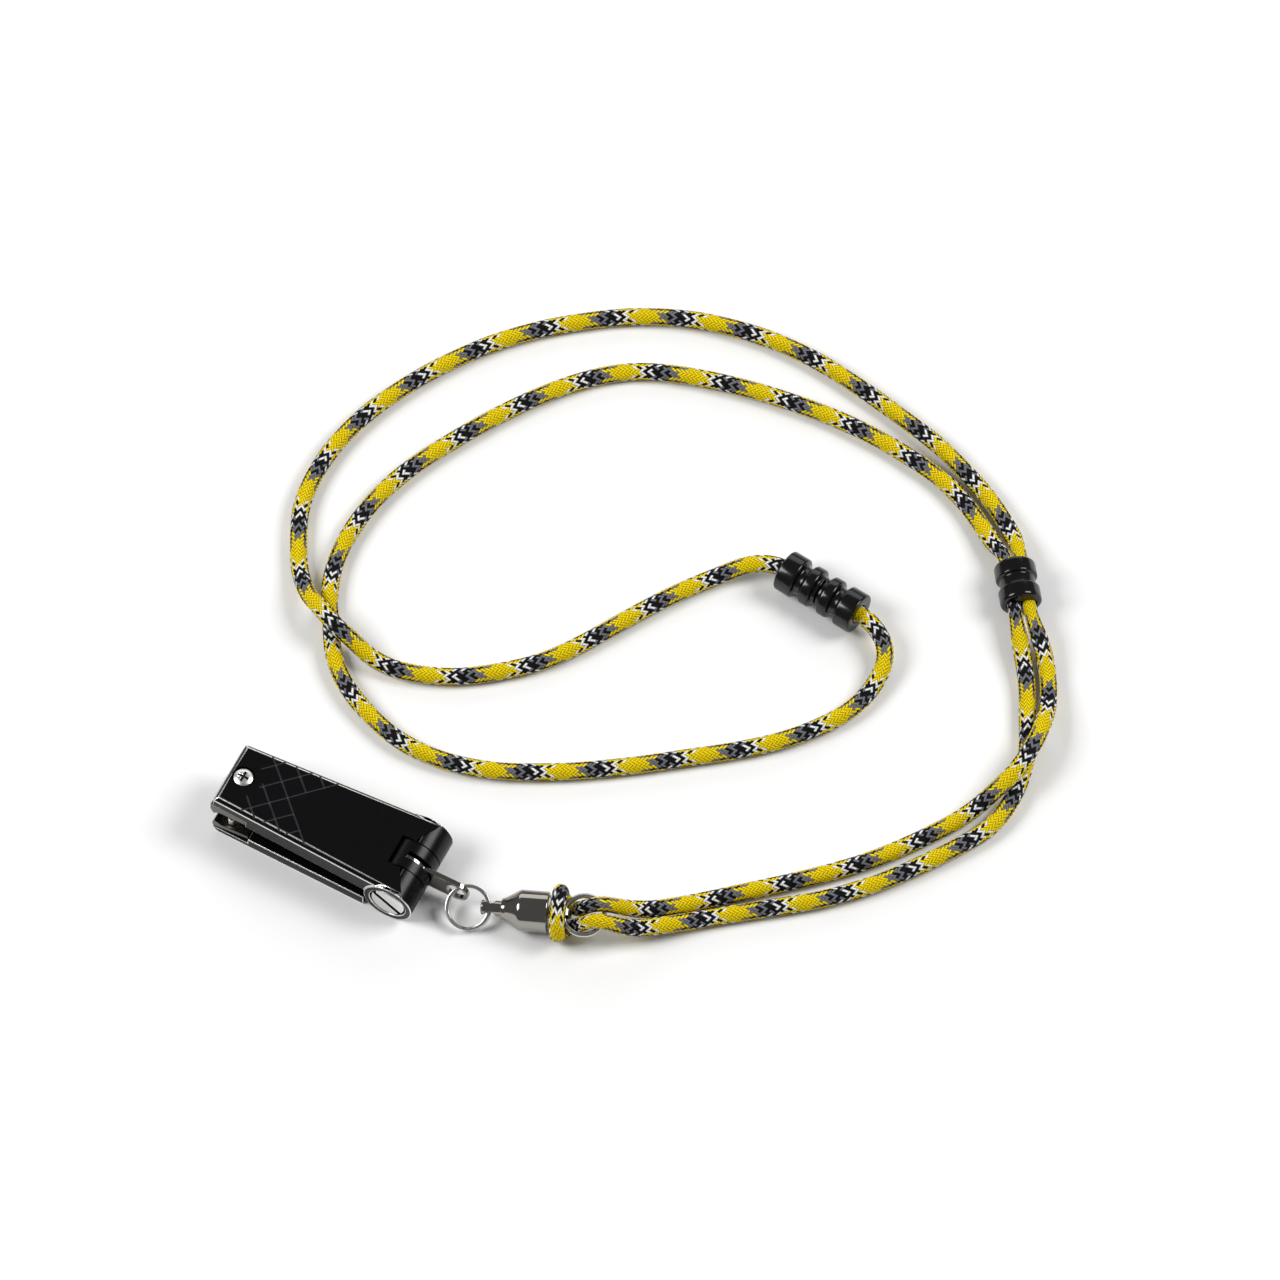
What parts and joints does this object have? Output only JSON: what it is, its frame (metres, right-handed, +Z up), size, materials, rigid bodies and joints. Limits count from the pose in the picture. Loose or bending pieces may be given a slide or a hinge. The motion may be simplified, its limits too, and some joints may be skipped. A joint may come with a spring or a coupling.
{
  "type": "line nipper",
  "caption": "Spring-loaded line nipper with steel jaw inserts, hung by a split ring and swivel from a braided neck cord with slider bead and breakaway connector.",
  "frame": {"origin": "on the flat underside of the lower arm, under the middle of the nipper", "axes": "+X along the nipper from its jaw to its hinge, +Z up from the surface it lies on"},
  "size_m": [0.183, 0.1753, 0.0144],
  "materials": {
    "anodised": "satin",
    "tool_steel": "satin",
    "nickel": "polished",
    "acetal": "gloss",
    "nylon": "matte",
    "braid": "woven"
  },
  "bodies": {
    "lanyard": {"cord_strand_a": "braid", "cord_hitch": "braid", "cord_strand_b": "braid", "swivel_ring": "tool_steel", "swivel_rear_stem": "nickel", "connector_socket": "acetal", "cord_stopper_a": "nylon"},
    "connector_end": {"connector_plug": "acetal", "cord_stopper_b": "nylon"},
    "bead": {"slider_bead": "acetal"},
    "swivel_body": {"swivel_shell": "nickel", "swivel_end_cap": "nickel", "swivel_ball_1": "tool_steel", "swivel_ball_2": "tool_steel", "swivel_ball_3": "tool_steel", "swivel_ball_4": "tool_steel", "swivel_ball_5": "tool_steel", "swivel_ball_6": "tool_steel"},
    "swivel_front": {"swivel_front_stem": "nickel"},
    "ring": {"split_ring": "tool_steel"},
    "tang": {"lanyard_tang": "nickel"},
    "lower": {"lower_arm": "anodised", "lower_jaw": "tool_steel", "lower_jaw_screw": "nickel", "hinge_nut": "nickel", "hinge_screw": "nickel", "stop_pin": "tool_steel", "spring": "tool_steel"},
    "upper": {"upper_arm": "anodised", "upper_jaw": "tool_steel", "upper_jaw_screw": "nickel"}
  },
  "joints": [
    {"name": "swivel_turn", "type": "hinge", "parent": "lanyard", "child": "swivel_body", "pos_m": [0.05287, 0.00415, 0.0052], "axis": [0.9402, 0.3366, 0.0523], "continuous": true},
    {"name": "front_turn", "type": "hinge", "parent": "swivel_body", "child": "swivel_front", "pos_m": [0.04535, 0.00146, 0.00478], "axis": [0.9402, 0.3366, 0.0523], "continuous": true},
    {"name": "ring_swing", "type": "hinge", "parent": "swivel_front", "child": "ring", "pos_m": [0.04018, -0.0004, 0.00449], "axis": [-0.388, 0.8034, 0.4517], "range_deg": [-20, 20]},
    {"name": "tang_swing", "type": "hinge", "parent": "ring", "child": "tang", "pos_m": [0.0317, 0, 0.0052], "axis": [0.5298, 0.7606, 0.3753], "range_deg": [-20, 20]},
    {"name": "nipper_swing", "type": "hinge", "parent": "tang", "child": "lower", "pos_m": [0.0195, 0, 0.006], "axis": [0, -1, 0], "range_deg": [-30, 30]},
    {"name": "squeeze", "type": "hinge", "parent": "lower", "child": "upper", "pos_m": [0.0195, 0, 0.006], "axis": [0, -1, 0], "range_deg": [0, 3.8], "stiffness_Nm_per_rad": 2, "deforming": ["spring"]},
    {"name": "bead_slide", "type": "slide", "parent": "lanyard", "child": "bead", "axis": [0.5807, -0.8141, 0], "range_m": [-0.002, 0.002]},
    {"name": "connector_turn", "type": "hinge", "parent": "lanyard", "child": "connector_end", "pos_m": [0.07068, 0.10651, 0.005], "axis": [0.9895, -0.1444, 0], "continuous": true}
  ]
}
